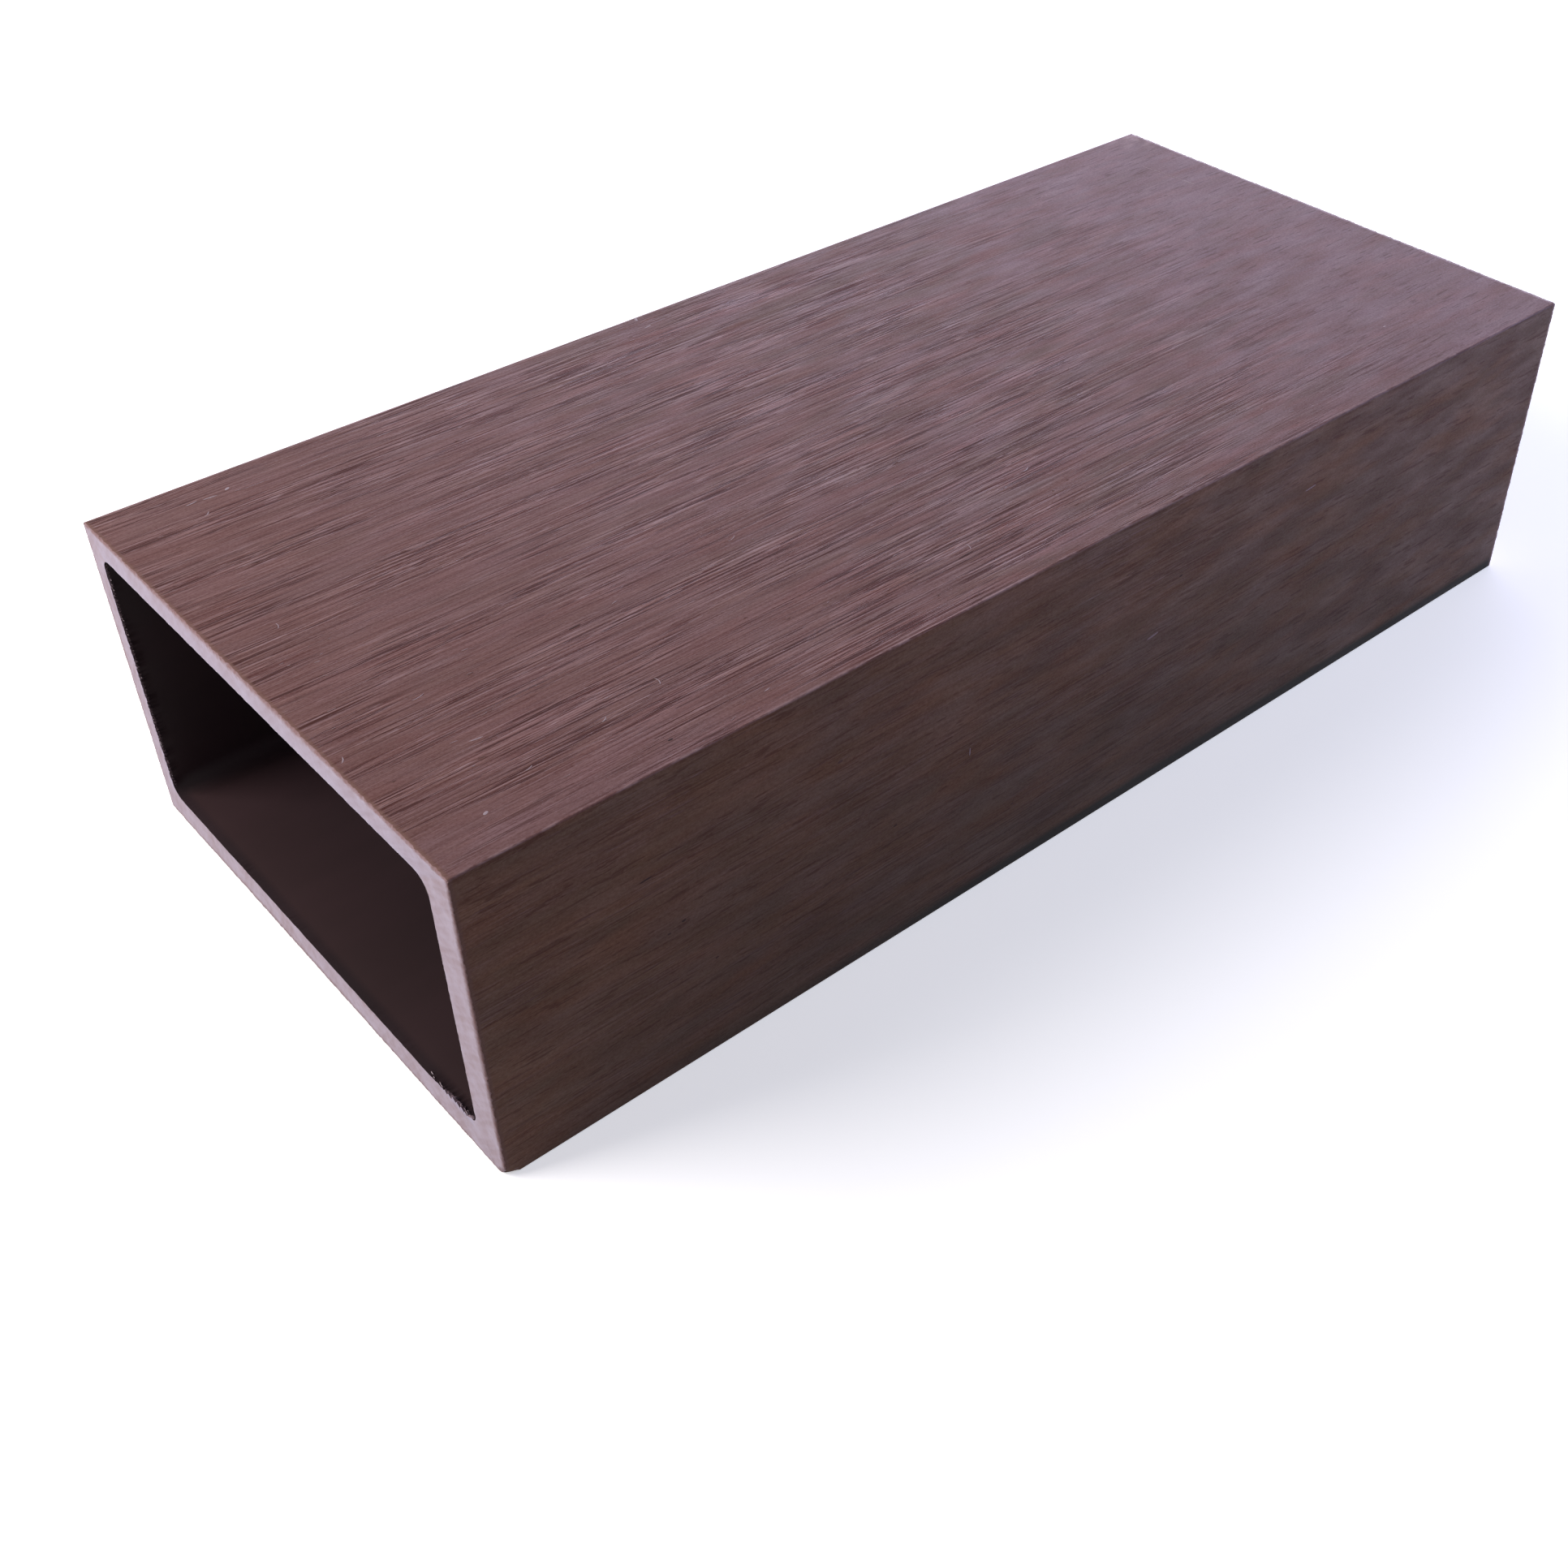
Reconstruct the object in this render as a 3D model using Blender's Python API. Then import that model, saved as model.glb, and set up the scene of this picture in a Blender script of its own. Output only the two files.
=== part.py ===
# Hollow rectangular handrail in wood-plastic composite, extruded as one piece and sawn square
# at both ends. It lies on its broad base: X runs along the rail, Y across it and Z up. The
# origin is at the middle of the base. The front wall is on -Y, and the first cut end on -X.

import math

import bmesh
import bpy

# Driving dimensions, in metres
RAIL_LENGTH = 0.243
RAIL_WIDTH = 0.110
RAIL_HEIGHT = 0.060

# The die's core sits a little high and towards the back, so each wall has its own thickness
TOP_WALL = 0.0045
BASE_WALL = 0.0055
FRONT_WALL = 0.0065
BACK_WALL = 0.0040

OUTER_CORNER_RADIUS = 0.0008
BORE_CORNER_RADIUS = 0.0030
CORNER_SEGMENTS = 8

SHARP_ANGLE = math.radians(30)

COMPOSITE_BROWN = (0.145, 0.078, 0.062, 1.0)
COMPOSITE_ROUGHNESS = 0.55


def clear_scene():
    for existing in list(bpy.data.objects):
        bpy.data.objects.remove(existing, do_unlink=True)


def composite_material():
    """Brown wood-plastic composite, matt after brushing."""
    material = bpy.data.materials.new("brown_wood_composite")
    material.use_nodes = True
    shader = material.node_tree.nodes["Principled BSDF"]
    shader.inputs["Base Color"].default_value = COMPOSITE_BROWN
    shader.inputs["Roughness"].default_value = COMPOSITE_ROUGHNESS
    shader.inputs["Metallic"].default_value = 0.0
    return material


def rounded_rectangle(low_y, high_y, low_z, high_z, radius):
    """Points (y, z) round a rectangle whose four corners are arcs, anticlockwise from the
    start of the corner at high y and high z."""
    radius = min(radius, (high_y - low_y) / 2, (high_z - low_z) / 2)
    corners = [
        (high_y - radius, high_z - radius, 0.0),
        (low_y + radius, high_z - radius, math.pi / 2),
        (low_y + radius, low_z + radius, math.pi),
        (high_y - radius, low_z + radius, 3 * math.pi / 2),
    ]
    points = []
    for centre_y, centre_z, first_angle in corners:
        for step in range(CORNER_SEGMENTS + 1):
            angle = first_angle + step * (math.pi / 2) / CORNER_SEGMENTS
            y = centre_y + radius * math.cos(angle)
            z = centre_z + radius * math.sin(angle)
            points.append((y, z))
    return points


def outer_outline():
    half_width = RAIL_WIDTH / 2
    return rounded_rectangle(
        -half_width, half_width, 0.0, RAIL_HEIGHT, OUTER_CORNER_RADIUS
    )


def bore_outline():
    """The outline of the hollow: the outer rectangle less each wall's own thickness."""
    half_width = RAIL_WIDTH / 2
    return rounded_rectangle(
        FRONT_WALL - half_width,
        half_width - BACK_WALL,
        BASE_WALL,
        RAIL_HEIGHT - TOP_WALL,
        BORE_CORNER_RADIUS,
    )


def closed_loop(mesh, outline, x):
    """Adds an outline in the plane at x as a closed ring of edges."""
    corners = [mesh.verts.new((x, y, z)) for y, z in outline]
    return [
        mesh.edges.new((corner, corners[(index + 1) % len(corners)]))
        for index, corner in enumerate(corners)
    ]


def handrail_tube():
    """Draws the hollow section on the first cut plane and extrudes it to the rail's length."""
    mesh = bmesh.new()
    start = -RAIL_LENGTH / 2
    rings = closed_loop(mesh, outer_outline(), start)
    rings += closed_loop(mesh, bore_outline(), start)
    section = bmesh.ops.bridge_loops(mesh, edges=rings)["faces"]
    extruded = bmesh.ops.extrude_face_region(
        mesh, geom=section, use_keep_orig=True
    )["geom"]
    far_section = [item for item in extruded if isinstance(item, bmesh.types.BMVert)]
    bmesh.ops.translate(mesh, verts=far_section, vec=(RAIL_LENGTH, 0.0, 0.0))
    bmesh.ops.recalc_face_normals(mesh, faces=mesh.faces)

    data = bpy.data.meshes.new("handrail_tube")
    mesh.to_mesh(data)
    mesh.free()
    data.shade_smooth()
    data.set_sharp_from_angle(angle=SHARP_ANGLE)
    data.materials.append(composite_material())
    tube = bpy.data.objects.new("handrail_tube", data)
    bpy.context.scene.collection.objects.link(tube)
    return tube


def main():
    clear_scene()
    handrail_tube()


main()
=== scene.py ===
# Brown wood-plastic composite handrail, extruded in one piece: its brushed skin, sawn ends and
# smooth bore, with the fibres that the saw tore and the scuffs on the skin. Metres throughout.
# X runs along the rail, the front wall is on -Y and the near cut end on -X.

import bpy
import numpy as np
from mathutils import Matrix, Vector


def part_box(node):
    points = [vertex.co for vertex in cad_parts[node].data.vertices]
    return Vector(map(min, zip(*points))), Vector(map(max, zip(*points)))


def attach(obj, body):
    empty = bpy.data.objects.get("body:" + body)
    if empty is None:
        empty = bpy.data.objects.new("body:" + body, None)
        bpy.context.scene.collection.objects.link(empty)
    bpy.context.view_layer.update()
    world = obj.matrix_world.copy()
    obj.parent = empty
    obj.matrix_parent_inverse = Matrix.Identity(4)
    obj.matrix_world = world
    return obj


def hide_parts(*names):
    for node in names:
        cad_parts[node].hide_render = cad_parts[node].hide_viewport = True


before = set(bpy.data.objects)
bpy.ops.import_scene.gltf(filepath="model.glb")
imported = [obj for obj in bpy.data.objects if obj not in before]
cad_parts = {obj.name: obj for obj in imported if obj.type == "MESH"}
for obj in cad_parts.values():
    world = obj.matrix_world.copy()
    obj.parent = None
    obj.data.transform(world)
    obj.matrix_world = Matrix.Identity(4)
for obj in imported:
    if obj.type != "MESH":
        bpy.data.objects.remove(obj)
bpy.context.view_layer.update()                       # the imported parts, now in their world places
mm = 0.001


# sRGB hex to linear RGBA
def hexColour(code):
    shares = np.array([int(code[at:at + 2], 16) for at in (1, 3, 5)]) / 255
    linear = np.where(shares <= 0.04045, shares / 12.92, ((shares + 0.055) / 1.055) ** 2.4)
    return (*linear, 1.0)


# Links or sets inputs of a node. A node given as a value stands for its own first output.
def setInputs(tree, node, inputs):
    for socket, value in inputs.items():
        if isinstance(value, bpy.types.Node):
            value = value.outputs[0]
        if isinstance(value, bpy.types.NodeSocket):
            tree.links.new(value, node.inputs[socket])
        else:
            node.inputs[socket].default_value = value


# Adds a node with its properties and inputs
def addNode(tree, kind, inputs={}, **settings):
    node = tree.nodes.new(kind)
    for name, value in settings.items():
        setattr(node, name, value)
    setInputs(tree, node, inputs)
    return node


# A material, its tree and its shader, on which the inputs that are the same all over are set
def newMaterial(name, inputs):
    material = bpy.data.materials.new(name)
    material.use_nodes = True
    tree = material.node_tree
    shader = tree.nodes["Principled BSDF"]
    setInputs(tree, shader, inputs)
    return material, tree, shader


# Lays colours over one another, each by how far its source has come from its low to its high
def layColours(tree, colour, sources, finish):
    for source, low, high, most, name in finish["layers"]:
        share = addNode(tree, "ShaderNodeMapRange", {0: sources[source], 1: low, 2: high, 4: most})
        colour = addNode(tree, "ShaderNodeMix", {
            0: share, 6: colour, 7: hexColour(finish[name])}, data_type="RGBA").outputs[2]
    return colour


def newObject(name, data):
    made = bpy.data.objects.new(name, data)
    bpy.context.scene.collection.objects.link(made)
    return made


# Matrix that puts a lamp or the camera in its place and turns it to its aim
def aimedMatrix(place, aim):
    turn = (Vector(aim) - Vector(place)).to_track_quat("-Z", "Y").to_matrix().to_4x4()
    return Matrix.Translation(place) @ turn


# Makes a closed mesh object with float marks on its points and, if given, a UV for each corner
def newPiece(name, points, faces, marks, slots=None, corners=None):
    mesh = bpy.data.meshes.new(name)
    mesh.from_pydata(points.tolist(), [], faces)
    for mark, values in marks.items():
        mesh.attributes.new(mark, "FLOAT", "POINT").data.foreach_set("value", values.astype(np.float32))
    if slots is not None:
        mesh.polygons.foreach_set("material_index", slots)
    if corners is not None:
        mesh.uv_layers.new(name="OFBake").data.foreach_set("uv", corners.astype(np.float32).ravel())
    piece = newObject(name, mesh)
    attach(piece, "root")
    triangles = sum(len(face) - 2 for face in faces)
    print(name + ":", len(mesh.vertices), "points,", triangles, "triangles")
    return piece


# Smooth step from 0 to 1 while value goes from low to high
def smoothStep(low, high, value):
    share = np.clip((value - low) / (high - low), 0, 1)
    return share * share * (3 - 2 * share)


rail = {
    "topWall": 4.5 * mm,
    "baseWall": 5.5 * mm,
    "frontWall": 6.5 * mm,
    "backWall": 4.0 * mm,
    "outerRadius": 0.4 * mm,
    "boreRadius": 3.0 * mm,
    "cornerPoints": 8,                  # points round a corner, along a broad side, along a narrow one
    "broadPoints": 468,
    "narrowPoints": 248,
    "middlePoint": 240,                 # near the middle of the top, and in the bore's thinner rings too
    "stations": 39,                     # even rings along the skin
    "cutRows": (0.9 * mm, 2.4 * mm),    # one more ring by each cut, and where the even ones begin
    "boreStations": 19,
    "boreRows": (1.2 * mm, 3.5 * mm),   # the same in the bore, from the torn lip
    "dieLines": 0.012 * mm,             # height of the faint lines that the die left in the bore
    "dieBlur": 9,
    "dieLimits": (-1.5, 1.5),
    "topFacing": (0.3, 0.8),            # how far a normal turns up to count as top, or aside as side
    "sideFacing": (0.5, 0.9),
    "sharpAngle": 50,                   # degrees past which an edge is drawn sharp
}
brushing = {                            # relief that the wire brush left, all of it cut inwards
    "seed": 11,
    "pitch": 1.0 * mm,                  # step of the noise along the rail
    "spareSteps": (20, 60),             # of noise before the near cut, and in all
    "blurs": ((0.6, 9), (0.7, 7), (9, 22), (11, 16)),    # of scratches, gouges, swell and groups
    "scratchFrom": (-0.2, 1.8),         # noise at which a line begins, and at which it is full
    "gougeFrom": (1.3, 2.4),
    "groupFrom": (-0.6, 1.0),
    "loneShare": 0.3,                   # depth of the scratches that are in no group
    "sunk": 0.018 * mm,                 # skin under the box's faces, so that raised fibres show on it
    "scratchDepth": 0.018 * mm,
    "gougeDepth": 0.035 * mm,
    "swellDepth": 0.04 * mm,
    "sideShare": 0.28,                  # the narrow sides were brushed more lightly than the top
    "edgeFade": 0.45,                   # and so was the top by its front edge, at the near end:
    "fadeReach": (16 * mm, 3 * mm),     # how far from the edge this begins and is full,
    "fadePlaces": (-0.05, -0.09),       # and where along the rail
}
wear = {                                # painted light and shade on the skin, and a bare chip, with distances in mm
    "highlightEdge": (0.75, 0.35),           # the top's long edges get a painted highlight,
    "paleFacing": (0.5, 0.85),
    "darkEdge": (0.95, 0.6),            # and painted shade on the sides just under them
    "darkFacing": (0.35, 0.1),
    "farSheen": 1.2,                       # painted sheen on the far corner at the back
    "farSheenReach": (12, 1),
    "chipPale": 2.0,                    # bare composite where the corner broke off
    "lowShade": 0.40,                       # painted shade on the sides, more towards the floor
    "lowShadeReach": (62, 0),
    "footShade": 0.20,                   # painted shade along the foot of both sides, and so much more on the front
    "frontFootShade": 0.72,
    "footReach": (3.8, 1.0),
    "footPlaces": (-0.16, 0.06),        # metres along the rail over which it grows
}
alongRail = {                           # amounts at places along the rail, in metres from its middle
    "brushed": (
        (-0.120, 1.05), (-0.050, 1.25), (-0.010, 1.45), (0.020, 1.35), (0.060, 0.62), (0.095, 0.15)),
    "topMottle": (
        (-0.120, 0.25), (-0.060, 0.40), (-0.010, 0.9), (0.030, 1.1), (0.070, 1.0), (0.110, 0.7)),
    # more mottle towards the far end of the sides, its lilac haze partly painted sheen
    "sideMottleAndSheen": ((-0.120, 0.6), (0.0, 1.0), (0.120, 1.7)),
    # painted shade low on the sides, deepest over the middle of the rail
    "lowShade": ((-0.120, 0.2), (-0.080, 0.9), (-0.010, 1.2), (0.060, 0.9), (0.120, 0.5)),
}
sawing = {
    "seed": 23,
    "setback": 0.20 * mm,               # the worn edge: how far the skin stays back from the cut
    "inset": 0.22 * mm,                 # and how far the flat of the cut stays in from the skin
    "wornNoise": ((0.30, 0.6), (0.12, 9)),          # amounts and blurs that make it ragged
    "wornLimits": (0.3, 1.9),
    "rimWidth": 1.1 * mm,
    "rimShare": 0.75,                   # how brown the worn edge is
    "faceRows": (0.5, 0.8, 1.0),        # further rings of the cut face, as shares of the wall
    "faceRelief": 0.05 * mm,
    "faceBlur": 2.0,
    "ceilingLight": (0.0, 0.2, 0.35, 0.5),          # painted light, paler across the top wall of the cut
    "lipDepth": 1.1 * mm,               # how far the torn lip reaches into the bore
    "lipRows": ((0.30, 0.85), (1.0, 0.0)),          # shares of that depth, and of the tear and painted highlight left
    "lipTear": 0.05 * mm,               # how far it stands proud everywhere
    "backTear": 0.22 * mm,              # along the back wall, where the blade came out
    "cornerTear": 0.60 * mm,            # by the front lower corner
    "cornerReach": (15 * mm, 6 * mm),
    "backPale": 0.7,                    # how pale the torn edge is there, and its painted highlight on the top wall
    "ceilingHighlight": 0.9,
    "toothBlurs": (0.7, 14),            # of the single teeth, and of their clumps
    "teeth": (0.45, 0.6, 0, 1.5),       # as asShare's
    "lipClumps": (0.6, 0.5, 0.15, 2),
    "backClumps": (0.5, 0.5, 0.1, 1),
    "backFacing": (0.75, 0.95),
    "baseFacing": (0.6, 0.9),
    "ceilingFacing": (0.8, 1.0),
    "dustReach": 14 * mm,               # how far sawdust went into the bore
    "dustFreeFacing": (0.3, 0.9),       # none of it stayed on the back wall
    "chipDepth": 1.5 * mm,              # outer corner broken off at the front of the base,
    "chipLength": 2.4 * mm,             # shallower along the rail and round the section
    "chipSlope": 0.7,
}
bakeStrips = {                          # height of each strip of the UV map, and strips that go round
    "skin": (0.338, 2), "cut": (0.036, 2), "bore": (0.115, 1),
    "gap": 0.008, "margin": 0.004,
}


# How much of one of the amounts along the rail there is at x, in straight lines between its places
def amountAt(name, x):
    return np.interp(x, *zip(*alongRail[name]))


# A rounded rectangle as arrays: points and outward normals. An arc's centre moves only along the
# straight sides and its angle turns only round the corners, so with both interpolated between
# the eight ends of the corners, point = centre + radius * (cos angle, sin angle).
def roundedOutline(lowY, highY, lowZ, highZ, radius):
    corner, broad, narrow = (rail[name] for name in ("cornerPoints", "broadPoints", "narrowPoints"))
    knots = np.cumsum([0, corner, broad, corner, narrow, corner, broad, corner, narrow])
    step = np.arange(knots[-1])
    right, left, top, bottom = highY - radius, lowY + radius, highZ - radius, lowZ + radius
    centreY = np.interp(step, knots, [right, right, left, left, left, left, right, right, right])
    centreZ = np.interp(step, knots, [top, top, top, top, bottom, bottom, bottom, bottom, top])
    angle = np.interp(step, knots, np.array([0, 1, 1, 2, 2, 3, 3, 4, 4]) * np.pi / 2)
    normal = np.stack([np.cos(angle), np.sin(angle)], 1)
    return np.stack([centreY, centreZ], 1) + radius * normal, normal


# White noise blurred by a Gaussian through its Fourier transform, and scaled to a spread of 1.
# It closes on itself round the rail. The blurs are in grid steps, round the rail and along it.
def blurredNoise(random, around, along, blurAround, blurAlong):
    white = np.fft.rfft2(random.standard_normal((around, along)))
    turnsAround, turnsAlong = np.fft.fftfreq(around)[:, None], np.fft.rfftfreq(along)[None, :]
    gain = np.exp(-2 * np.pi ** 2 * ((turnsAround * blurAround) ** 2 + (turnsAlong * blurAlong) ** 2))
    field = np.fft.irfft2(white * gain, (around, along))
    return field / field.std()


# Noise with a spread of 1 as a share: its middle, how much of the noise is added, and its limits
def asShare(noise, middle=0.5, part=0.25, least=0, most=1):
    return np.clip(middle + part * noise, least, most)


# Depths of the brushed relief at each point round the rail and each place along it, in metres:
# the lines, which are fine scratches all over and longer gouges where the noise passes a
# threshold, and a slow swell
def brushedRelief(around, places, low, high):
    random = np.random.default_rng(brushing["seed"])
    stepsBefore, spareSteps = brushing["spareSteps"]
    columns = int((high - low) / brushing["pitch"]) + spareSteps
    scratch, gouge, swell, group = (
        blurredNoise(random, around, columns, *blurs) for blurs in brushing["blurs"])
    grouped = smoothStep(*brushing["groupFrom"], group)
    lines = (brushing["scratchDepth"] * smoothStep(*brushing["scratchFrom"], scratch)
             * (brushing["loneShare"] + (1 - brushing["loneShare"]) * grouped))
    lines += brushing["gougeDepth"] * smoothStep(*brushing["gougeFrom"], gouge) * grouped
    swell = brushing["swellDepth"] * asShare(swell)
    column = (places - low) / brushing["pitch"] + stepsBefore
    before = np.floor(column).astype(int)
    share = column - before
    return [depth[:, before] * (1 - share) + depth[:, before + 1] * share for depth in (lines, swell)]


# Corners of the faces between two neighbouring rings, each a row of values per point that ends
# on its first point again. Equal rings give quads. Where a ring has twice the points of the
# other, every second one of its points gets three triangles.
def bandFaces(first, second):
    if first.shape == second.shape:
        return [np.stack([first[:-1], first[1:], second[1:], second[:-1]], 1)]
    if len(first) < len(second):
        return [faces[:, ::-1] for faces in bandFaces(second, first)]
    even, odd, nextEven = first[0:-1:2], first[1::2], first[2::2]
    return [np.stack(three, 1) for three in (
        (even, odd, second[:-1]), (odd, second[1:], second[:-1]), (odd, nextEven, second[1:]))]


# The whole rail as one closed skin. Rings of points go along the outside from the near cut to the
# far one, across the far cut face, back through the bore and across the near cut face.
def buildRail():
    low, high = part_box("handrail_tube")
    outer, outerNormal = roundedOutline(low[1], high[1], low[2], high[2], rail["outerRadius"])
    bore, boreNormal = roundedOutline(
        low[1] + rail["frontWall"], high[1] - rail["backWall"],
        low[2] + rail["baseWall"], high[2] - rail["topWall"], rail["boreRadius"])
    around = len(outer)
    random = np.random.default_rng(sawing["seed"])
    marks = ("groove", "brush", "rim", "tear", "edge", "upward", "soil", "mottle")
    rings = []                          # points, then marks
    bands = []                          # material of the faces that start from each ring

    def addRing(x, outline, band, **values):
        columns = (x, outline[:, 0], outline[:, 1], *(values.get(mark, 0.0) for mark in marks))
        rings.append(np.stack([np.broadcast_to(column, len(outline)) for column in columns], 1))
        bands.append(band)

    def ringNoise(blur):
        return blurredNoise(random, around, 1, blur, 1)[:, 0]

    # The skin: closer rings by the cuts, whose own edge is ragged, then even ones
    worn = [np.clip(sum((part * ringNoise(blur) for part, blur in sawing["wornNoise"]), 1),
                    *sawing["wornLimits"]) for end in range(2)]
    byCut, firstEven = rail["cutRows"]
    places = np.concatenate([
        [low[0] + sawing["setback"], low[0] + byCut],
        np.linspace(low[0] + firstEven, high[0] - firstEven, rail["stations"]),
        [high[0] - byCut, high[0] - sawing["setback"]]])
    lines, swell = brushedRelief(around, places, low[0], high[0])
    deepest = brushing["scratchDepth"] + brushing["gougeDepth"]

    # What changes round the section: brushing, painted highlights and painted shade
    onTop = smoothStep(*rail["topFacing"], outerNormal[:, 1])
    onSide = smoothStep(*rail["sideFacing"], np.abs(outerNormal[:, 0]))
    onFront = smoothStep(*rail["sideFacing"], -outerNormal[:, 0])
    fromSide = np.minimum(outer[:, 0] - low[1], high[1] - outer[:, 0]) / mm
    fromTop = (high[2] - outer[:, 1]) / mm
    fromFloor = (outer[:, 1] - low[2]) / mm
    fromChip = np.hypot(outer[:, 0] - low[1], outer[:, 1] - low[2])
    fadeFrom, fadeFull = (low[1] + reach for reach in brushing["fadeReach"])
    brushed = brushing["sideShare"] + (1 - brushing["sideShare"]) * onTop
    faded = brushing["edgeFade"] * smoothStep(fadeFrom, fadeFull, outer[:, 0]) * onTop
    # Painted highlight along the top's long edges, less painted shade on the sides just under them
    edgeLightAndShade = smoothStep(*wear["highlightEdge"], fromSide) * smoothStep(*wear["paleFacing"], outerNormal[:, 1])
    edgeLightAndShade -= smoothStep(*wear["darkEdge"], fromTop) * smoothStep(*wear["darkFacing"], outerNormal[:, 1])
    # Painted shade on the sides, growing towards the floor and darkest along their foot
    soiled = onSide * wear["lowShade"] * smoothStep(*wear["lowShadeReach"], fromFloor)
    foot = ((wear["footShade"] * onSide + wear["frontFootShade"] * onFront)
            * smoothStep(*wear["footReach"], fromFloor))

    skinRings = []
    for at, x in enumerate(places):
        strength = brushed * amountAt("brushed", x)
        strength *= 1 - faded * smoothStep(*brushing["fadePlaces"], x)
        depth = brushing["sunk"] + (lines + swell)[:, at] * strength
        chip = (sawing["chipDepth"] * np.clip(1 - (x - low[0]) / sawing["chipLength"], 0, 1)
                - sawing["chipSlope"] * fromChip)
        chipped = chip > depth
        outline = outer - np.maximum(depth, chip)[:, None] * outerNormal
        skinRings.append(outline)
        onEdge = at in (0, len(places) - 1)
        if onEdge:
            x = x + (worn[at > 0] - 1) * sawing["setback"] * (-1 if at else 1)
        onSides, onTops = amountAt("sideMottleAndSheen", x), amountAt("topMottle", x)
        # Painted shade low on the sides, lighter at the near end
        paintedLowShade = soiled * amountAt("lowShade", x) + foot * smoothStep(*wear["footPlaces"], x)
        # Painted sheen on the top by its far back corner
        fromFarCorner = np.hypot(high[0] - x, high[1] - outer[:, 0]) / mm
        edgeLightAndSheen = edgeLightAndShade + wear["farSheen"] * onTop * smoothStep(*wear["farSheenReach"], fromFarCorner)
        addRing(x, outline, "skin", groove=lines[:, at] / deepest, brush=strength,
                rim=np.where(chipped, 0.0, onEdge), edge=np.where(chipped, wear["chipPale"], edgeLightAndSheen),
                upward=onTop, soil=np.where(chipped, 0.0, paintedLowShade),
                mottle=onSides + (onTops - onSides) * onTop)
    bands[-1] = "cut"

    # Where the saw tore the inner edge: everywhere a little, the back wall and one corner more.
    # It gives how far the edge stands out, in teeth and clumps of them, and how pale it is, with a
    # painted highlight along the top wall.
    onBack = smoothStep(*sawing["backFacing"], boreNormal[:, 0])
    onBase = smoothStep(*sawing["baseFacing"], -boreNormal[:, 1])
    onCeiling = smoothStep(*sawing["ceilingFacing"], boreNormal[:, 1])
    toCorner = np.hypot(bore[:, 0] - bore[:, 0].min(), bore[:, 1] - bore[:, 1].min())
    atCorner = onBase * smoothStep(*sawing["cornerReach"], toCorner)
    pale = np.clip(sawing["backPale"] * onBack + atCorner + sawing["ceilingHighlight"] * onCeiling, 0, 1)

    def tornReach():
        teeth, clumps = (ringNoise(blur) for blur in sawing["toothBlurs"])
        reach = sawing["lipTear"] * asShare(clumps, *sawing["lipClumps"])
        reach += sawing["backTear"] * onBack * asShare(clumps, *sawing["backClumps"])
        reach += sawing["cornerTear"] * atCorner
        return reach * asShare(teeth, *sawing["teeth"])

    # One cut face from its worn outer edge to the torn inner one, and on to the lip in the bore.
    # way is 1 at the near end, -1 at the far one.
    def cutRings(x, way, outline, wornShare):
        reach = tornReach()
        edge = outline - (sawing["inset"] * wornShare)[:, None] * outerNormal
        lip = bore - reach[:, None] * boreNormal
        wall = np.linalg.norm(edge - lip, axis=1)
        shares = (0.0, sawing["rimWidth"] / wall, *sawing["faceRows"])
        # Painted light across the top wall of the cut, then the paleness of the torn edge
        tears = (*(onCeiling * chalk for chalk in sawing["ceilingLight"]), pale)
        rows = []
        for row, (across, tear) in enumerate(zip(shares, tears)):
            across = np.broadcast_to(across, around)[:, None]
            sunk = sawing["faceRelief"] * asShare(ringNoise(sawing["faceBlur"])) * (row > 0)
            rim = 0.0 if row else sawing["rimShare"]
            rows.append((x + way * sunk, edge * (1 - across) + lip * across, rim, tear))
        for depthShare, tearShare in sawing["lipRows"]:
            lip = bore - (reach * tearShare)[:, None] * boreNormal
            rows.append((x + way * sawing["lipDepth"] * depthShare, lip, 0.0, tearShare * pale))
        return rows

    farRows = cutRings(high[0], -1, skinRings[-1], worn[1])
    for (x, outline, rim, tear), band in zip(farRows, ["cut"] * 4 + ["bore"] * 3):
        addRing(x, outline, band, rim=rim, tear=tear)

    # The bore: half the points by the cuts and a quarter of them between, with the die's lines
    dieLines = rail["dieLines"] * np.clip(ringNoise(rail["dieBlur"]), *rail["dieLimits"])
    boreOutline = bore - dieLines[:, None] * boreNormal
    byLip, firstEven = (sawing["lipDepth"] + row for row in rail["boreRows"])
    borePlaces = np.concatenate([
        [high[0] - byLip],
        np.linspace(high[0] - firstEven, low[0] + firstEven, rail["boreStations"]),
        [low[0] + byLip]])
    for at, x in enumerate(borePlaces):
        dust = np.exp(-min(x - low[0], high[0] - x) / sawing["dustReach"])
        thinned = slice(None, None, 2 if at in (0, len(borePlaces) - 1) else 4)
        dustFree = smoothStep(*sawing["dustFreeFacing"], boreNormal[thinned, 0])
        addRing(x, boreOutline[thinned], "bore", rim=dust * (1 - dustFree))

    nearRows = reversed(cutRings(low[0], 1, skinRings[0], worn[0]))
    for (x, outline, rim, tear), band in zip(nearRows, ["bore"] * 2 + ["cut"] * 5):
        addRing(x, outline, band, rim=rim, tear=tear)

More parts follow.
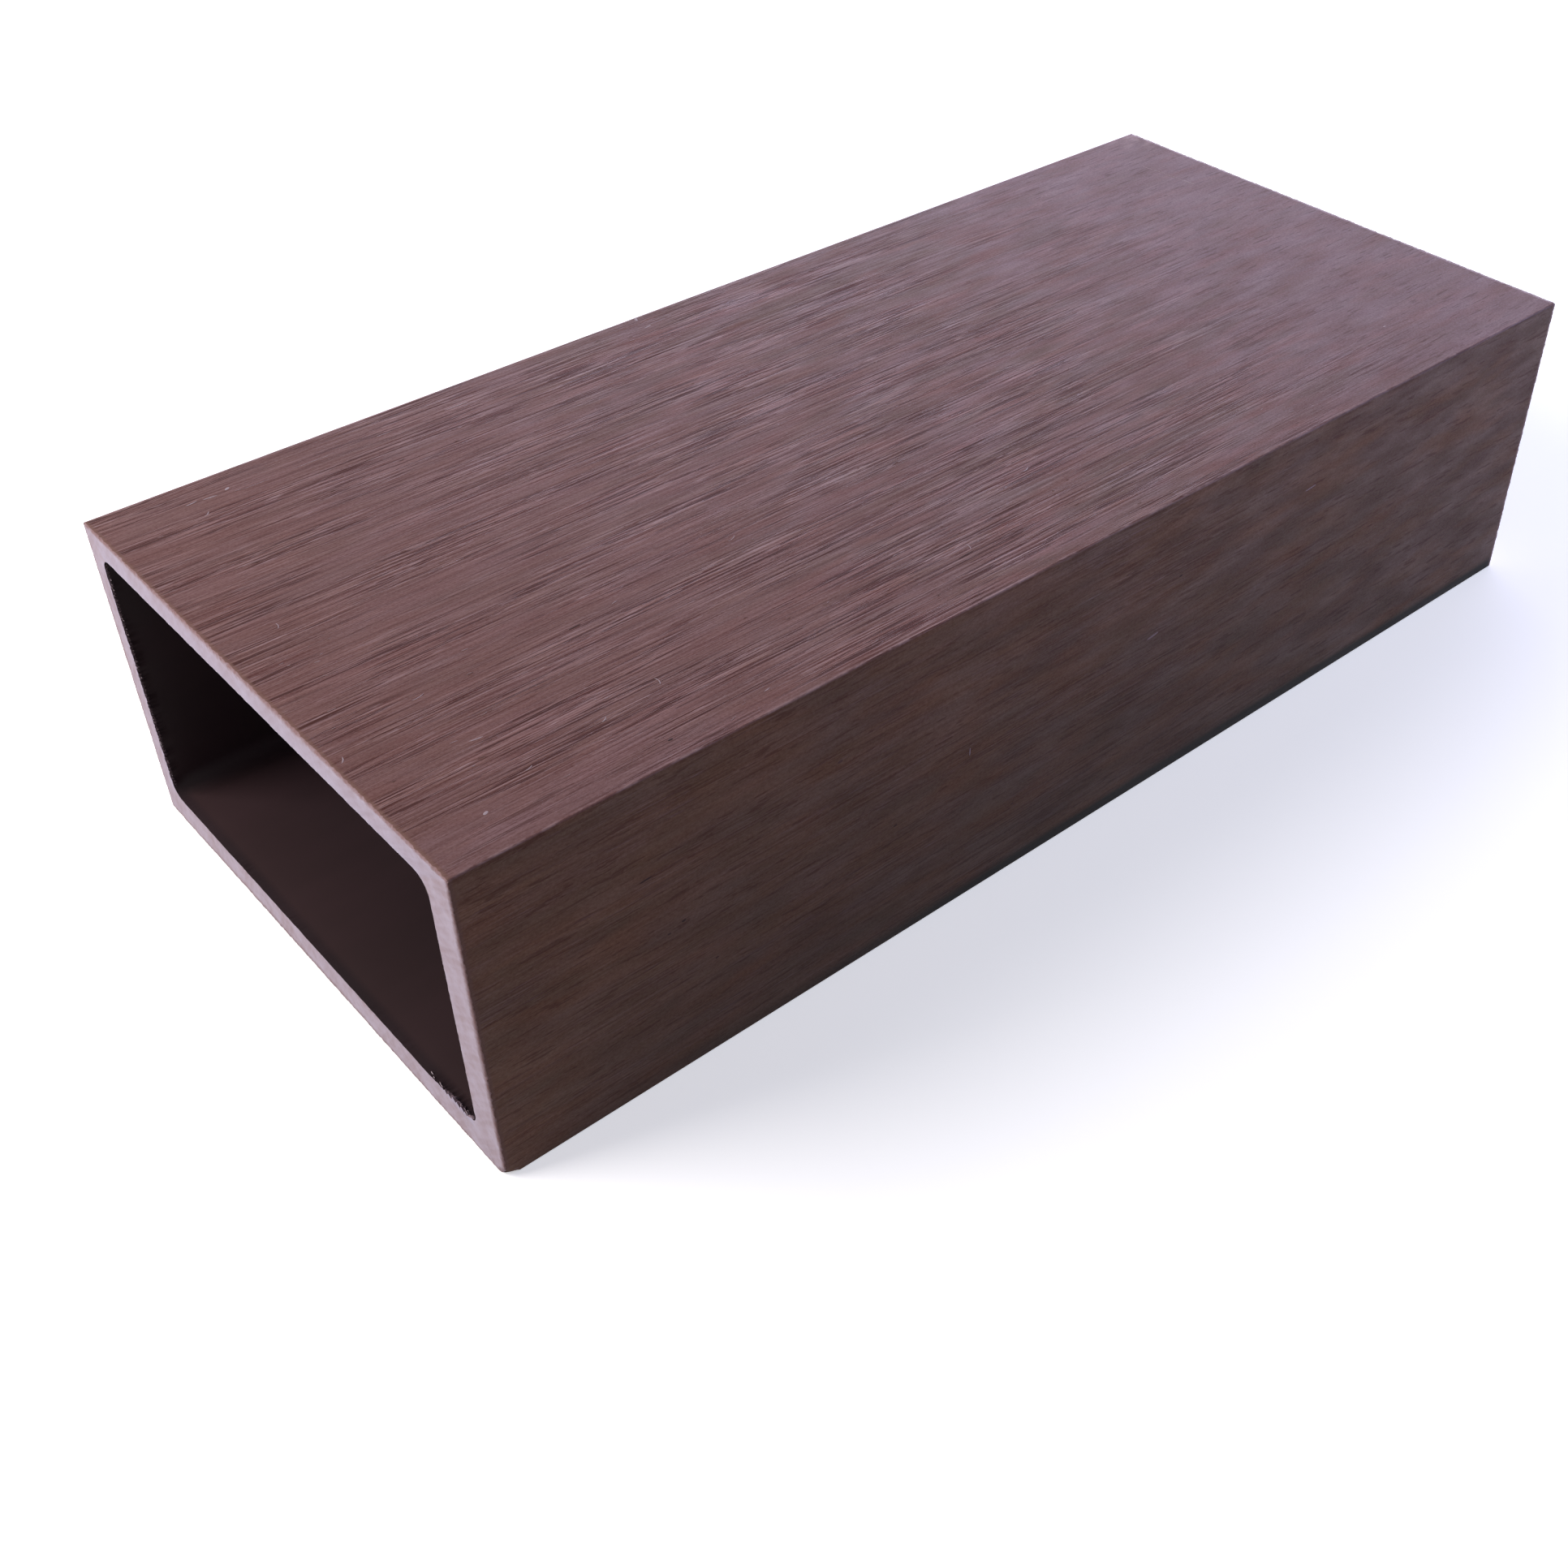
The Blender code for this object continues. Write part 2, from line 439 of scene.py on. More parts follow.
    # Each ring's points, closed on themselves, with the share of the way round and the distance
    # from the first ring, measured along the middle of the top
    starts = np.cumsum([0] + [len(ring) for ring in rings])
    middles = np.array([
        ring[len(ring) * rail["middlePoint"] // around, :3] for ring in rings + rings[:1]])
    along = np.concatenate([[0], np.linalg.norm(np.diff(middles, axis=0), axis=1).cumsum()])
    closed = [np.stack([np.append(np.arange(starts[at], starts[at + 1]), starts[at]),
                        np.linspace(0, 1, len(ring) + 1)], 1) for at, ring in enumerate(rings)]
    slots = {"skin": 0, "cut": 1, "bore": 2}
    gap, margin = bakeStrips["gap"], bakeStrips["margin"]
    top = gap
    faces, slot, corners = [], [], []
    for at, band in enumerate(bands):
        if at == 0 or band != bands[at - 1]:
            if at:
                top += beside * (height + gap)
            last = next((step for step in range(at, len(bands)) if bands[step] != band), len(bands))
            begin, length = along[at], along[last] - along[at]
            height, beside = bakeStrips[band]
        pair = [np.column_stack([ring, np.full(len(ring), along[step])])
                for step, ring in ((at, closed[at]), (at + 1, closed[(at + 1) % len(rings)]))]
        for block in bandFaces(*pair):
            half = (block[:, :, 1].mean(1) > 0.5)[:, None] * (beside == 2)
            across = block[:, :, 1] * beside - half
            rise = top + half * (height + gap) + (block[:, :, 2] - begin) / length * height
            faces += block[:, :, 0].astype(int).tolist()
            slot += [slots[band]] * len(block)
            corners.append(np.stack([margin + (1 - 2 * margin) * across, rise], 2).reshape(-1, 2))
    points = np.concatenate(rings)
    piece = newPiece("brushedRail", points[:, :3], faces, dict(zip(marks, points[:, 3:].T)),
                     slot, np.concatenate(corners))
    piece.data.shade_smooth()
    piece.data.set_sharp_from_angle(angle=np.radians(rail["sharpAngle"]))
    return piece


brushedSkin = {
    "pinkBrown": "#73504a",             # the plain top, and the sides
    "sideBrown": "#7f5743",
    "oliveBrown": "#6b5047",            # smears; umber and sideHaze give lilac on the sides, partly painted sheen
    "lilac": "#7e646b",
    "rust": "#814b40",
    "gouge": "#46221a",                 # painted shade: line bottoms, nicks, under the top's edges
    "fibre": "#a68a8a",                 # painted highlight on lines and edges, pale fibres, bare chip
    "rim": "#7d5f59",                   # worn edge by the cuts
    "umber": "#5c4836",
    "sideHaze": "#7e6256",
    "soil": "#1d1a18",                  # painted shade on the sides, darkest at their foot
    "apart": 5.3,                       # offset from one noise to the next, so that none repeats another
    "layers": {                         # noise stretched to a grain: mm along the rail, mm across, detail
        "patches": (22, 5.5, 2.0),
        "hazes": (17, 5.5, 2.0),
        "blots": (15, 4.0, 3.0),
        "rusts": (14, 3.6, 2.0),
        "groups": (34, 5.0, 2.0),
        "streaks": (9, 1.3, 3.0),
        "hairs": (16, 0.29, 1.5),
        "cuts": (16, 0.34, 2.0),
        "litCuts": (16, 0.34, 2.0),     # the same lines, shifted across
        "nicks": (6, 0.60, 2.0),
        "fibres": (6, 0.34, 2.0),
        "grit": (0.5, 0.28, 2.0),
        "scuffs": (5, 2.0, 3.0),
    },
    "litShift": 0.16,                   # mm from a cut line to its lit side, where a highlight is painted
    "toneShares": (0.80, 1.12, 1.18),   # a darker line keeps its hue if green and blue fall more than red
    "ranges": {                         # source, its low and high, and what they become
        "olive": ("patches", 0.36, 0.64, 0.0, 1.0),
        # lilac haze: partly real tone, partly painted sheen
        "hazeAndSheen": ("hazes", 0.42, 0.68, 0.0, 0.38),
        "swell": ("hazes", 0.3, 0.7, -0.13, 0.13),
        "blot": ("blots", 0.32, 0.66, 0.18, 0.58),
        "smooth": ("brush", 0.3, 0.9, 1.0, 0.0),
        "rusty": ("rusts", 0.48, 0.68, 0.0, 0.30),
        "group": ("groups", 0.42, 0.60, 0.35, 1.35),
        "streak": ("streaks", 0.3, 0.7, -0.09, 0.09),
        "hair": ("hairs", 0.3, 0.7, -0.46, 0.46),
        "speck": ("grit", 0.3, 0.7, -0.20, 0.20),
        # The next lines paint shade in the cut lines and where the relief is deepest, and a highlight on their
        # lit side
        "dark": ("cuts", 0.56, 0.585, 0.0, 1.0),
        "lit": ("litCuts", 0.575, 0.61, 0.0, 0.28),
        "nick": ("nicks", 0.60, 0.65, 0.0, 0.60),
        "pale": ("fibres", 0.63, 0.70, 0.0, 0.45),
        "grooveShade": ("groove", 0.25, 0.8, 0.0, 0.70),
        "scuff": ("scuffs", 0.46, 0.60, 0.1, 1.0),
        # worn: painted highlight by the top's edges, painted sheen on its far back corner, and the bare chip
        "worn": ("edge", 0.0, 1.0, 0.0, 0.70),
        # shade: painted shade on the sides just under the top's edges
        "shade": ("edge", 0.0, -1.0, 0.0, 0.55),
    },
    "roughness": (-0.3, 0.3, 0.62, 0.5),    # the same for the lines
    "shader": {"Specular IOR Level": 0.12},
    "bump": {"Strength": 0.55, "Distance": 0.03 * mm},
}


# Wood-plastic composite, brushed: wood flour in polyethylene whose glossy skin a wire brush has
# torn into fine lines along the rail. The eye sees a matt mauve brown in slow smears of pink,
# olive, lilac and rust, the lilac partly a painted sheen, with groups of hairlines, each painted
# dark as shade with a painted highlight on its lit side, over the middle of the top and hardly
# any at the far end and on the sides. Painted highlight and shade run by the top's edges, and
# painted shade low on the sides.
def brushedMaterial():
    material, tree, shader = newMaterial("brushedComposite", brushedSkin["shader"])
    coords = addNode(tree, "ShaderNodeTexCoord").outputs["Object"]
    layer = {}
    for place, (name, (along, across, detail)) in enumerate(brushedSkin["layers"].items()):
        offset = (brushedSkin["apart"] * place, 0, 0)
        if name == "litCuts":
            shift = brushedSkin["litShift"] / across
            offset = (brushedSkin["apart"] * (place - 1), shift, shift)
        grain = addNode(tree, "ShaderNodeMapping", {
            "Vector": coords, "Location": offset,
            "Scale": (1 / (along * mm), 1 / (across * mm), 1 / (across * mm))})
        layer[name] = addNode(tree, "ShaderNodeTexNoise", {
            "Vector": grain, "Scale": 1.0, "Detail": detail, "Roughness": 0.6})
    for name in ("groove", "brush", "rim", "edge", "upward", "soil", "mottle"):
        layer[name] = addNode(tree, "ShaderNodeAttribute", attribute_name=name).outputs["Fac"]

    for name, (source, *limits) in brushedSkin["ranges"].items():
        layer[name] = addNode(tree, "ShaderNodeMapRange", dict(enumerate([layer[source], *limits])))

    # Sums and products of these, in order: lines go with how strongly the skin is brushed there,
    # smears, with the painted sheen in their lilac haze, with how mottled it is
    for name, operation, *terms in (
            ("strength", "MULTIPLY", "group", "brush"),
            ("soft", "ADD", "streak", "speck"),
            ("soft", "MULTIPLY_ADD", "swell", "mottle", "soft"),
            ("lines", "MULTIPLY_ADD", "hair", "strength", "soft"),
            ("tone", "ADD", "lines", 1.0),
            *((line, "MULTIPLY", line, "strength") for line in ("dark", "lit", "pale", "grooveShade")),
            *((rub, "MULTIPLY", rub, "scuff") for rub in ("worn", "shade")),
            *((mark, "MULTIPLY", mark, "smooth") for mark in ("blot", "nick")),
            *((smear, "MULTIPLY", smear, "mottle") for smear in ("olive", "hazeAndSheen", "rusty")),
            ("rusty", "MULTIPLY", "rusty", "upward"),
            ("height", "SUBTRACT", "tone", "dark")):
        values = dict(enumerate(layer.get(term, term) for term in terms))
        layer[name] = addNode(tree, "ShaderNodeMath", values, operation=operation)
    tones = addNode(tree, "ShaderNodeVectorMath", {
        0: layer["lines"], 1: brushedSkin["toneShares"], 2: (1, 1, 1)}, operation="MULTIPLY_ADD")

    # The sides' tint and the top's, where they differ
    colour, blotch, hazeAndSheen = (addNode(tree, "ShaderNodeMix", {
        0: layer["upward"], 6: hexColour(brushedSkin[side]), 7: hexColour(brushedSkin[top])},
        data_type="RGBA").outputs[2]
        for side, top in (("sideBrown", "pinkBrown"), ("umber", "lilac"), ("sideHaze", "lilac")))
    for share, mixed in (("olive", hexColour(brushedSkin["oliveBrown"])), ("blot", blotch),
                         ("hazeAndSheen", hazeAndSheen), ("rusty", hexColour(brushedSkin["rust"]))):
        colour = addNode(tree, "ShaderNodeMix", {0: layer[share], 6: colour, 7: mixed},
                         data_type="RGBA").outputs[2]
    colour = addNode(tree, "ShaderNodeVectorMath", {0: colour, 1: tones}, operation="MULTIPLY")
    # Painted highlight and shade of lines and edges, pale fibres, painted low shade, worn rim
    for share, mixed in (("lit", "fibre"), ("dark", "gouge"), ("grooveShade", "gouge"), ("nick", "gouge"),
                         ("pale", "fibre"), ("shade", "gouge"), ("worn", "fibre"), ("soil", "soil"),
                         ("rim", "rim")):
        mixed = hexColour(brushedSkin[mixed])
        colour = addNode(tree, "ShaderNodeMix", {0: layer[share], 6: colour, 7: mixed},
                         data_type="RGBA").outputs[2]
    bump = addNode(tree, "ShaderNodeBump", {"Height": layer["height"], **brushedSkin["bump"]})
    values = dict(enumerate([layer["lines"], *brushedSkin["roughness"]]))
    rough = addNode(tree, "ShaderNodeMapRange", values)
    setInputs(tree, shader, {"Base Color": colour, "Normal": bump, "Roughness": rough})
    return material


sawnFace = {
    "chalk": "#cfc3d5",
    "shadow": "#bdabb7",
    "rim": "#98797a",
    "pit": "#8f7a82",
    # the pale torn lip, and the painted light and highlight on the cut's top wall
    "lip": "#cfc9e2",
    "noises": {"smear": 4.5, "grit": 0.35, "fuzz": 0.8},    # mm
    "bladeAway": (0, 0.11, 0.06),       # metres that the saw's axis lay before the rail and under it
    "toothSpacing": 1.6 * mm,
    "layers": (                         # source, its low and high, the most that it covers, colour
        ("smear", 0.35, 0.65, 1.0, "chalk"),
        ("teeth", 0.5, 1.0, 0.35, "chalk"),
        ("grit", 0.66, 0.78, 0.30, "pit"),
        ("ragged", 0.05, 0.95, 1.0, "rim"),
        # painted light and highlight on the top wall, and the pale torn lip
        ("tear", 0.0, 1.0, 0.8, "lip"),
    ),
    "shader": {"Roughness": 0.8, "Specular IOR Level": 0.3},
    "bump": {"Strength": 0.4, "Distance": 0.03 * mm},
}


# The same composite, sawn: the blade crushed the polymer, which went pale and chalky, with soft
# smears and faint arcs from the teeth. Its outer edge is worn back to the warm brown of the skin.
# Painted light makes its top wall paler, with a painted highlight along the inner edge there.
def sawnMaterial():
    material, tree, shader = newMaterial("sawnComposite", sawnFace["shader"])
    coords = addNode(tree, "ShaderNodeTexCoord").outputs["Object"]
    source = {}
    for name, size in sawnFace["noises"].items():
        source[name] = addNode(tree, "ShaderNodeTexNoise", {
            "Vector": coords, "Scale": 1 / (size * mm), "Detail": 3.0, "Roughness": 0.6})
    arcs = addNode(tree, "ShaderNodeMapping", {"Vector": coords, "Location": sawnFace["bladeAway"]})
    ringsAtOne = 0.31                   # metres between the rings of a Wave texture at scale 1
    source["teeth"] = addNode(tree, "ShaderNodeTexWave", {
        "Vector": arcs, "Scale": ringsAtOne / sawnFace["toothSpacing"],
        "Distortion": 2.0, "Detail": 2.0, "Detail Scale": 1.5},
        wave_type="RINGS", rings_direction="X").outputs["Fac"]
    rim = addNode(tree, "ShaderNodeAttribute", attribute_name="rim").outputs["Fac"]
    fuzz = addNode(tree, "ShaderNodeMath", {0: source["fuzz"], 1: -0.5}, operation="ADD")
    source["ragged"] = addNode(tree, "ShaderNodeMath", {0: fuzz, 1: 1.0, 2: rim},
                               operation="MULTIPLY_ADD")
    source["tear"] = addNode(tree, "ShaderNodeAttribute", attribute_name="tear").outputs["Fac"]

    colour = layColours(tree, hexColour(sawnFace["shadow"]), source, sawnFace)
    height = addNode(tree, "ShaderNodeMath", {0: source["grit"], 1: source["teeth"]}, operation="ADD")
    bump = addNode(tree, "ShaderNodeBump", {"Height": height, **sawnFace["bump"]})
    setInputs(tree, shader, {"Base Color": colour, "Normal": bump})
    return material


extrudedBore = {
    "brown": "#2f2427",
    "worn": "#37292d",
    "dust": "#5e4442",
    "torn": "#b49ca6",
    "cloud": (90, 16),                  # mm along the rail and across
    "fuzz": 0.3,                        # mm
    "layers": (                         # source, its low and high, the most that it covers, colour
        ("cloud", 0.35, 0.65, 1.0, "worn"),
        ("dust", 0.0, 1.0, 0.22, "dust"),
        ("ragged", 0.95, 1.3, 1.0, "torn"),
    ),
    "shader": {"Roughness": 0.38, "Specular IOR Level": 0.4},
}


# The same composite as it left the die: a closed satin skin, darker than the brushed one, with
# faint clouds. Where the saw broke through, torn fibres show pale, with a painted highlight on
# them along the top wall.
def boreMaterial():
    material, tree, shader = newMaterial("extrudedComposite", extrudedBore["shader"])
    coords = addNode(tree, "ShaderNodeTexCoord").outputs["Object"]
    along, across = extrudedBore["cloud"]
    drawn = addNode(tree, "ShaderNodeMapping", {
        "Vector": coords, "Scale": (1 / (along * mm), 1 / (across * mm), 1 / (across * mm))})
    source = {"cloud": addNode(tree, "ShaderNodeTexNoise", {
        "Vector": drawn, "Scale": 1.0, "Detail": 3.0})}
    fuzz = addNode(tree, "ShaderNodeTexNoise", {
        "Vector": coords, "Scale": 1 / (extrudedBore["fuzz"] * mm)})
    tear = addNode(tree, "ShaderNodeAttribute", attribute_name="tear").outputs["Fac"]
    source["ragged"] = addNode(tree, "ShaderNodeMath", {0: tear, 1: fuzz}, operation="ADD")
    source["dust"] = addNode(tree, "ShaderNodeAttribute", attribute_name="rim").outputs["Fac"]
    colour = layColours(tree, hexColour(extrudedBore["brown"]), source, extrudedBore)
    setInputs(tree, shader, {"Base Color": colour})
    return material


scuffs = {
    "seed": 41,
    "topDepth": 0.030 * mm,             # how far the middle of a mark lies under the box's own face
    "frontDepth": 0.014 * mm,
    "margin": 0.004 * mm,               # and how far its crest does
    "scattered": {                      # short fibres that the brush raised on the top
        "count": 150,
        "along": (3, 239),              # mm from the near cut and from the back edge
        "across": (2, 108),
        "lean": (1.1, 1.9),             # beta distribution, so more of them by the near cut
        "length": (0.4, 1.6), "turn": 9, "width": (0.10, 0.17), "bend": 0.12,
        "tones": (-0.5, 0.1, 0.18, 0.26),
    },
    # mm from the near cut and from the back edge, length, degrees off the grain, width, bend, and
    # tone from -1 for dark to 1 for pale
    "top": (
        (15.5, 6.3, 2.2, 8, 0.30, 0.06, 0.33), (18.6, 6.6, 2.6, -5, 0.34, 0.0, 0.31),
        (21.9, 5.9, 1.0, 30, 0.51, 0.0, 0.45), (26.0, 7.7, 6.0, 0, 0.15, 0.0, 0.27),
        (37.0, 7.3, 8.0, 0, 0.17, 0.0, 0.27), (50.0, 7.2, 3.0, 0, 0.17, 0.0, 0.31),
        (64.5, 7.0, 5.0, 0, 0.24, 0.0, 0.4), (16.0, 10.8, 1.6, 40, 0.19, 0.3, 0.36),
        (107.0, 0.9, 1.6, 70, 0.51, 0.0, 0.45), (107.0, 4.7, 1.8, 10, 0.30, 0.0, 0.4),
        (10.0, 46.0, 1.6, 75, 0.15, 0.3, 0.36), (1.9, 80.0, 1.6, 60, 0.21, 0.24, 0.36),
        (16.8, 74.6, 2.4, 10, 0.15, 0.18, 0.36), (75.0, 71.5, 2.0, 20, 0.15, 0.24, 0.31),
        (18.0, 88.0, 2.2, -8, 0.21, 0.06, 0.36), (44.5, 93.7, 2.0, 85, 0.14, 0.36, 0.36),
        (33.7, 96.0, 1.4, 30, 0.19, 0.24, 0.36), (20.0, 98.0, 1.5, 15, 0.17, 0.18, 0.31),
        (101.5, 97.6, 2.0, 80, 0.15, 0.42, 0.36), (99.8, 99.0, 3.6, 3, 0.19, 0.0, -0.9),
        (124.5, 87.0, 1.8, 15, 0.22, 0.3, 0.45), (10.7, 102.0, 0.9, 20, 0.51, 0.0, 0.45),
        (55.0, 105.5, 1.2, 10, 0.17, 0.12, 0.31), (38.0, 105.6, 0.9, 0, 0.34, 0.0, -1.0),
        (43.0, 75.0, 2.2, 2, 0.26, 0.0, -0.8), (210.6, 94.5, 0.7, 0, 0.30, 0.0, 0.4),
        (232.0, 21.8, 17.0, 95, 0.5, 0.02, 0.14), (232.4, 26.0, 4.5, 96, 0.9, 0.0, 0.20),
    ),
    "front": (                          # the same, with mm down from the top edge
        (29.0, 17.8, 2.2, 4, 0.30, 0.0, -1.0), (52.5, 21.5, 12.0, 0, 0.14, 0.0, -0.5),
        (34.7, 29.4, 0.8, 10, 0.35, 0.0, -1.0), (32.0, 30.4, 0.7, 0, 0.30, 0.0, -0.8),
        (64.6, 15.8, 1.0, 0, 0.45, 0.0, -0.6), (75.7, 35.0, 0.8, 0, 0.35, 0.0, -0.9),
        (40.0, 40.6, 0.7, 10, 0.30, 0.0, -0.8), (102.0, 45.5, 0.8, 0, 0.30, 0.0, -0.8),
        (139.7, 16.2, 0.9, 0, 0.35, 0.0, -0.9), (63.0, 34.7, 6.0, 3, 0.20, 0.1, -0.7),
        (68.5, 28.5, 4.0, 45, 0.16, 0.3, -0.6), (91.5, 28.5, 1.6, 88, 0.15, 0.0, 0.5),
        (173.0, 12.5, 3.0, 5, 0.30, 0.0, 0.25), (134.0, 26.0, 3.0, 8, 0.40, 0.0, 0.20),
    ),
}
tearings = {                            # in mm, with turns in radians
    "seed": 57,
    "back": {                           # small fibres along the inner edge of the back wall
        "count": 46, "length": (0.3, 0.9), "width": (0.12, 0.3), "height": 0.05,
        "depth": (0.10, 0.45),          # in from the cut
        "turn": (0, 0.5),               # mean and spread
        "bend": 0.4, "tone": (0.35, 0.9),
    },
    "corner": {                         # chips on the base wall by the front lower corner
        "count": 16, "length": (0.6, 1.5), "width": (0.25, 0.5), "height": 0.07,
        "depth": (0.12, 0.6), "turn": (1.2, 0.6), "bend": 0.3, "tone": (0.35, 0.8),
    },
    "backEnds": (3.5, 4.0),             # bare ends of the back edge, at the base and at the top
    "backOut": 0.10,                    # how far its middle is out of the wall, as a share of its length
    "cornerOut": 0.05,
    "cornerPlace": (2.5, 11.5),         # where the chips begin, and over how much they spread
    "cornerLean": (1.2, 1.5),
    "nick": (103.2, 6.6, 0.05),         # nick painted dark as shade: from the back, down from the top, into the cut
    "nickTurn": 80,                     # degrees
    "nickSize": (1.1, 0.5, 0.04, 0.2),  # length, width, height and bend
}
sliverSteps = 9                         # points along a sliver


# Flat slivers that taper to both ends, bent along an arc, as one closed mesh of diamond sections.
# With t from -1 to 1 along a sliver, its middle is centre + along * length / 2 * t
# + across * bend * length / 2 * (t^2 - 1 / 2), and its half width and height go with sqrt(1 - t^2).
def slivers(name, centres, along, across, lengths, widths, heights, bends, tones):
    lift = np.cross(along, across)
    steps = np.linspace(-1, 1, sliverSteps)
    half = (lengths / 2)[:, None, None]
    middles = (centres[:, None] + along[:, None] * half * steps[:, None]
               + across[:, None] * half * bends[:, None, None] * (steps[:, None] ** 2 - 0.5))
    taper = np.sqrt(1 - steps[1:-1] ** 2)[None, :, None]
    side = across[:, None] * (widths / 2)[:, None, None] * taper
    rise = lift[:, None] * heights[:, None, None] * taper
    inner = middles[:, 1:-1]
    sections = np.stack([inner + side, inner + rise, inner - side, inner - rise], 2)
    count = len(centres)
    points = np.concatenate([middles[:, :1], sections.reshape(count, -1, 3), middles[:, -1:]], 1)
    each = points.shape[1]              # the first tip, four points of each section, the last tip
    around = np.arange(4)
    nextOne = (around + 1) % 4
    final = each - 5
    quads = [np.stack([start + around, start + nextOne, start + 4 + nextOne, start + 4 + around], 1)
             for start in range(1, final, 4)]
    first = np.stack([np.zeros(4, int), 1 + nextOne, 1 + around], 1)
    last = np.stack([final + around, final + nextOne, np.full(4, each - 1)], 1)
    faces = []
    for start in range(0, count * each, each):
        for block in (*quads, first, last):
            faces += (block + start).tolist()
    return newPiece(name, points.reshape(-1, 3), faces, {"tone": np.repeat(tones, each)})


# Scuffs, raised fibres and pits in the skin of the top and the front. A mark lies at
# corner + mm along the grain - mm down the side, and is turned in that plane.
def buildScuffs():
    low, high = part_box("handrail_tube")
    random = np.random.default_rng(scuffs["seed"])
    kind = scuffs["scattered"]
    count, (first, last) = kind["count"], kind["along"]
    scattered = np.stack([
        random.beta(*kind["lean"], count) * (last - first) + first,
        random.uniform(*kind["across"], count), random.uniform(*kind["length"], count),
        random.normal(0, kind["turn"], count), random.uniform(*kind["width"], count),
        random.normal(0, kind["bend"], count), random.choice(kind["tones"], count)], 1)
    top, front = np.concatenate([scuffs["top"], scattered]), np.array(scuffs["front"])
    grain = np.array((1, 0, 0))
    centres, along, across = [], [], []
    for rows, corner, side in (
            (top, (low[0], high[1], high[2] - scuffs["topDepth"]), (0, 1, 0)),
            (front, (low[0], low[1] + scuffs["frontDepth"], high[2]), (0, 0, 1))):
        side, turn = np.array(side), np.radians(rows[:, 3:4])
        centres.append(corner + rows[:, :1] * mm * grain - rows[:, 1:2] * mm * side)
        along.append(np.cos(turn) * grain + np.sin(turn) * side)
        across.append(np.cos(turn) * side - np.sin(turn) * grain)
    rows = np.concatenate([top, front])
    depths = np.repeat([scuffs["topDepth"], scuffs["frontDepth"]], [len(top), len(front)])
    heights = depths - scuffs["margin"]
    return slivers("skinScuffs", *(np.concatenate(part) for part in (centres, along, across)),
                   rows[:, 2] * mm, rows[:, 4] * mm, heights, rows[:, 5], rows[:, 6])


# Fibres and chips that the saw left on the inner edges of both cuts, and a nick in the near
# one, painted dark as shade
def buildTearings():
    low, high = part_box("handrail_tube")
    random = np.random.default_rng(tearings["seed"])
    backY, frontY = high[1] - rail["backWall"], low[1] + rail["frontWall"]
    baseZ, topZ = low[2] + rail["baseWall"], high[2] - rail["topWall"]
    parts = []

    # way is 1 where the fibres point to the back, -1 where they point to the front
    def addFibres(kind, x, into, way, placed):
        count = kind["count"]
        zero = np.zeros(count)

        def drawn(name):
            return random.uniform(*kind[name], count)

        length = drawn("length") * mm
        depth = x + into * drawn("depth") * mm
        turn = random.normal(*kind["turn"], count)
        parts.append((np.stack([depth, *placed(length, count)], 1),
                      np.stack([zero, way * np.cos(turn), np.sin(turn)], 1),
                      np.stack([zero, -way * np.sin(turn), np.cos(turn)], 1),
                      length, drawn("width") * mm, np.full(count, kind["height"] * mm),
                      random.normal(0, kind["bend"], count), drawn("tone")))

    def alongBack(length, count):
        atBase, atTop = (end * mm for end in tearings["backEnds"])
        return backY - tearings["backOut"] * length, random.uniform(baseZ + atBase, topZ - atTop, count)

    def byCorner(length, count):
        begin, spread = tearings["cornerPlace"]
        place = frontY + (begin + spread * random.beta(*tearings["cornerLean"], count)) * mm
        return place, baseZ + tearings["cornerOut"] * length

    for x, into in ((low[0], 1), (high[0], -1)):
        addFibres(tearings["back"], x, into, -1, alongBack)
        addFibres(tearings["corner"], x, into, 1, byCorner)
    fromBack, down, inside = tearings["nick"]
    turn = np.radians(tearings["nickTurn"])
    length, width, height, bend = tearings["nickSize"]
    nick = ((low[0] + inside * mm, high[1] - fromBack * mm, high[2] - down * mm),
            (0.0, np.cos(turn), np.sin(turn)), (0.0, -np.sin(turn), np.cos(turn)),
            length * mm, width * mm, height * mm, bend, -1.0)
    parts.append([np.array([value]) for value in nick])
    return slivers("tornFibres", *(np.concatenate(part) for part in zip(*parts)))


fibre = {
    # painted shade in pits, cracks and nicks
    "dark": "#2b1715",
    "plain": "#75564e",
    "pale": "#d8ccd6",
    "fleck": 0.25,                      # mm
    "fleckShare": 0.8,
    "layers": (                         # as the sawn face's
        ("tone", 0.0, 1.0, 1.0, "pale"),
        ("tone", 0.0, -1.0, 1.0, "dark"),
    ),
    "shader": {"Roughness": 0.7, "Specular IOR Level": 0.2},
}


# Loose fibre and crushed polymer: chalky where it was torn up, the skin's brown where only scuffed,
# and near black as painted shade in pits, cracks and nicks
def fibreMaterial():
    material, tree, shader = newMaterial("tornComposite", fibre["shader"])
    tone = addNode(tree, "ShaderNodeAttribute", attribute_name="tone").outputs["Fac"]
    coords = addNode(tree, "ShaderNodeTexCoord").outputs["Object"]
    fuzz = addNode(tree, "ShaderNodeTexNoise", {"Vector": coords, "Scale": 1 / (fibre["fleck"] * mm)})
    fleck = addNode(tree, "ShaderNodeMath", {0: fuzz, 1: -0.5}, operation="ADD")
    tone = addNode(tree, "ShaderNodeMath", {0: fleck, 1: fibre["fleckShare"], 2: tone},
                   operation="MULTIPLY_ADD")
    colour = layColours(tree, hexColour(fibre["plain"]), {"tone": tone}, fibre)
    setInputs(tree, shader, {"Base Color": colour})
    return material


